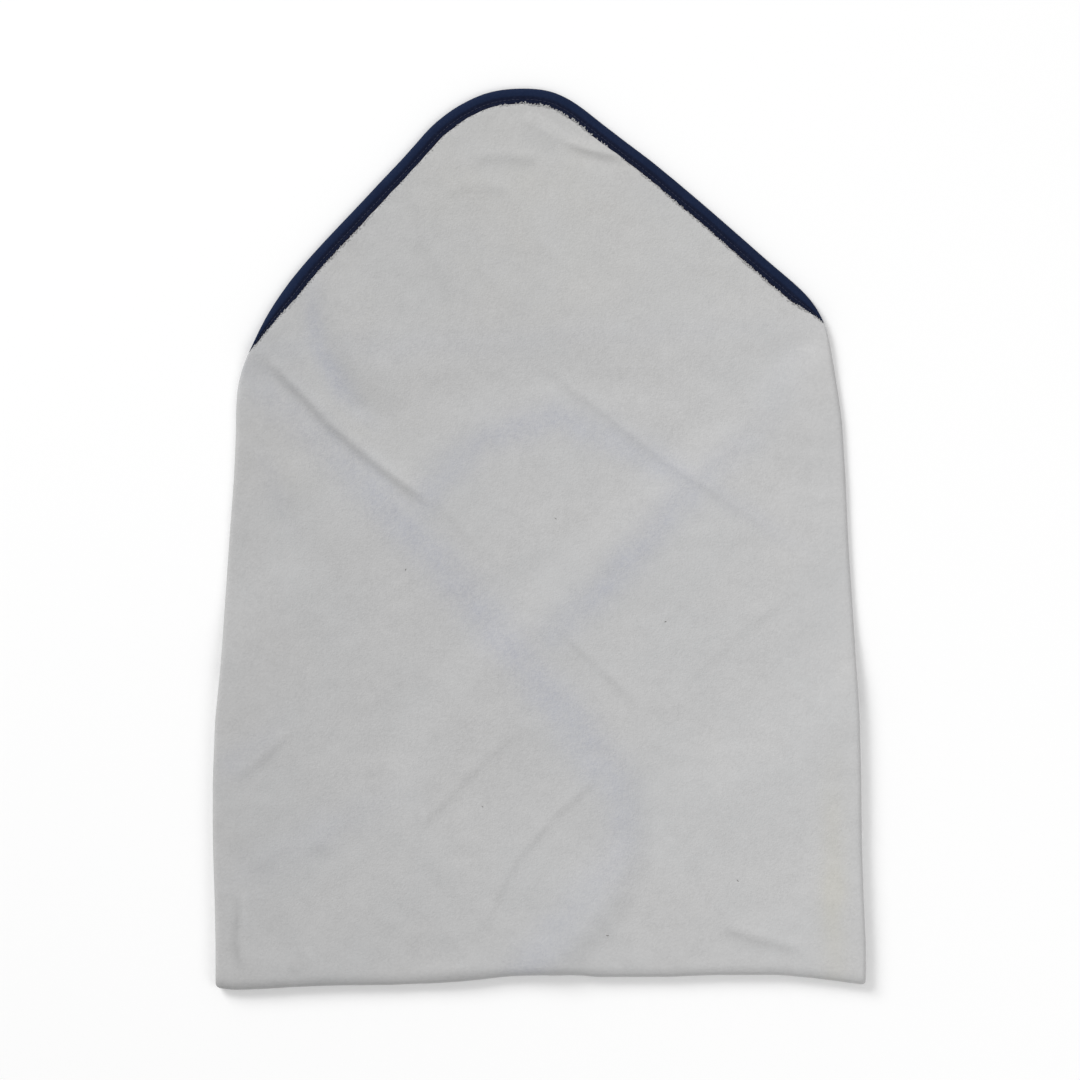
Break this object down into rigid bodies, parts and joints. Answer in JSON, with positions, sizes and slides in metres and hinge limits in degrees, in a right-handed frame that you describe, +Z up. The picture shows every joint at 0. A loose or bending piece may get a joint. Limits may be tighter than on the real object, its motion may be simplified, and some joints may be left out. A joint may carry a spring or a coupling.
{
  "type": "hooded baby towel",
  "caption": "Square terry hooded baby towel with bound edges, folded flat: side corners folded behind, bottom corner folded up behind them.",
  "frame": {"origin": "middle of the folded towel's footprint, on the surface it lies on", "axes": "+Z up out of the outer face of the towel, +Y towards the tip of the hood, +X to the right seen from above"},
  "size_m": [0.4576, 0.6276, 0.0132],
  "materials": {
    "white_terry": "cotton terry pile, matte",
    "hood_terry": "cotton terry pile, matte",
    "navy_tape": "plain woven bias tape, matte",
    "navy_thread": "spun sewing thread"
  },
  "bodies": {
    "folded_body": {"main_sheet_front": "white_terry", "hood_panel": "hood_terry", "left_flap": "white_terry", "right_flap": "white_terry", "hood_edge_binding_left": "navy_tape", "hood_edge_binding_right": "navy_tape", "hood_opening_binding": "navy_tape", "left_flap_binding_upper": "navy_tape", "left_flap_binding_lower": "navy_tape", "right_flap_binding_upper": "navy_tape", "right_flap_binding_lower": "navy_tape", "hood_edge_seam_left": "navy_thread", "hood_edge_seam_right": "navy_thread", "hood_opening_seam": "navy_thread"},
    "bottom_flap": {"bottom_flap": "white_terry", "left_flap_tail": "white_terry", "right_flap_tail": "white_terry", "bottom_flap_binding_left": "navy_tape", "bottom_flap_binding_right": "navy_tape", "left_flap_tail_binding": "navy_tape", "right_flap_tail_binding": "navy_tape"}
  },
  "joints": [
    {"name": "bottom_fold", "type": "hinge", "parent": "folded_body", "child": "bottom_flap", "pos_m": [0, -0.314, 0.00525], "axis": [-1, 0, 0], "range_deg": [0, 180]}
  ]
}
